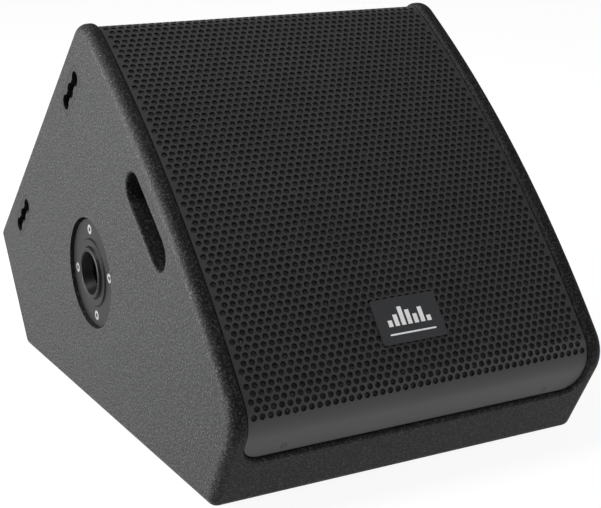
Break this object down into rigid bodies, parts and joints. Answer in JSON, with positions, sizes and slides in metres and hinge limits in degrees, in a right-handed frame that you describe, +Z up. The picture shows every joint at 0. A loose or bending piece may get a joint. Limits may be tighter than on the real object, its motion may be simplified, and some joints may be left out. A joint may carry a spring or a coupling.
{
  "type": "stage monitor wedge",
  "caption": "Low floor monitor loudspeaker: black plywood wedge with a curved perforated steel front, side handle slots, pole socket, fly tracks and an amplifier in its back.",
  "frame": {"origin": "on the floor, in the middle of the cabinet's width and depth", "axes": "+X to the right seen from the front, +Y to the back, +Z up; the grille faces -Y and up"},
  "size_m": [0.4091, 0.625, 0.4057],
  "materials": {
    "painted_plywood": "black textured paint",
    "bare_plywood": "bare birch plywood",
    "stained_plywood": "black stained plywood",
    "grille_steel": "black powder coat",
    "grille_foam": "black open-cell foam",
    "badge": "dark grey with a printed emblem",
    "black_screw": "black oxide",
    "bright_screw": "zinc plated",
    "pole_cup": "black glass-filled nylon",
    "track_steel": "black finished steel",
    "plain_steel": "zinc plated",
    "rubber": "matte",
    "basket": "black painted casting",
    "surround": "treated cloth",
    "cone_paper": "pressed paper pulp",
    "coil": "former with wound wire",
    "spider_cloth": "resin-treated cloth",
    "ferrite": "ferrite",
    "horn": "moulded",
    "amp_plate": "black anodised",
    "circuit_board": "board with soldered pieces",
    "standoff": "turned",
    "transformer": "wound core under tape",
    "connector": "moulded shell",
    "latch": "nickel plated",
    "knob": "black with a white line",
    "potentiometer": "plated case",
    "button": "moulded",
    "rocker": "moulded",
    "light": "clear lens",
    "cable": "insulated lead",
    "wadding": "polyester wadding"
  },
  "bodies": {
    "cabinet": {"side_panel_left": "painted_plywood", "side_panel_right": "painted_plywood", "bottom_panel": "painted_plywood", "rear_lower_panel": "painted_plywood", "rear_upper_panel": "painted_plywood", "front_lower_panel": "painted_plywood", "cross_brace": "bare_plywood", "corner_battens": "bare_plywood", "baffle": "stained_plywood", "grille": "grille_steel", "grille_foam": "grille_foam", "badge_plate": "badge", "grille_screws": "black_screw", "amp_plate_screws": "black_screw", "fly_track_screws": "black_screw", "foot_screws": "black_screw", "woofer_screws": "black_screw", "pole_cup_screws": "bright_screw", "pole_cup": "pole_cup", "fly_track_left_upper": "track_steel", "fly_track_left_lower": "track_steel", "fly_track_right_upper": "track_steel", "fly_track_right_lower": "track_steel", "track_nut_plates": "plain_steel", "magnet_plate": "plain_steel", "pole_piece": "plain_steel", "amp_chassis": "plain_steel", "rubber_feet": "rubber", "woofer_gasket": "rubber", "woofer_basket": "basket", "woofer_surround": "surround", "woofer_spider": "spider_cloth", "woofer_magnet": "ferrite", "compression_driver": "ferrite", "horn_throat": "horn", "port_tube_left": "horn", "port_tube_right": "horn", "amp_plate": "amp_plate", "amp_heatsink": "amp_plate", "amp_board": "circuit_board", "power_supply_board": "circuit_board", "board_standoffs": "standoff", "transformer": "transformer", "input_connector": "connector", "link_connector": "connector", "mains_inlet": "connector", "power_switch_frame": "connector", "fuse_holder": "connector", "ground_button_housing": "connector", "potentiometers": "potentiometer", "status_lights": "light", "speaker_cable": "cable", "damping_wadding": "wadding"},
    "driver_cone": {"woofer_cone": "cone_paper", "voice_coil": "coil"},
    "level_knob": {"level_knob": "knob"},
    "tone_knob": {"tone_knob": "knob"},
    "ground_lift_button": {"ground_lift_button": "button"},
    "power_rocker": {"power_switch_rocker": "rocker"},
    "input_latch": {"input_latch": "latch"}
  },
  "joints": [
    {"name": "cone_travel", "type": "slide", "parent": "cabinet", "child": "driver_cone", "axis": [0, -0.6828, 0.7306], "range_m": [-0.004, 0.004], "stiffness_N_per_m": 3000},
    {"name": "level_turn", "type": "hinge", "parent": "cabinet", "child": "level_knob", "pos_m": [-0.114, 0.1358, 0.30026], "axis": [0, 0.6972, 0.7169], "range_deg": [-150, 150]},
    {"name": "tone_turn", "type": "hinge", "parent": "cabinet", "child": "tone_knob", "pos_m": [-0.114, 0.16735, 0.26959], "axis": [0, 0.6972, 0.7169], "range_deg": [-150, 150]},
    {"name": "ground_lift_press", "type": "slide", "parent": "cabinet", "child": "ground_lift_button", "axis": [0, -0.6972, -0.7169], "range_m": [0, 0.002], "stiffness_N_per_m": 400},
    {"name": "power_rocker_tilt", "type": "hinge", "parent": "cabinet", "child": "power_rocker", "pos_m": [-0.072, 0.21474, 0.21792], "axis": [-1, 0, 0], "range_deg": [0, 24]},
    {"name": "input_latch_press", "type": "slide", "parent": "cabinet", "child": "input_latch", "axis": [0, 0.7169, -0.6972], "range_m": [0, 0.002], "stiffness_N_per_m": 400}
  ]
}
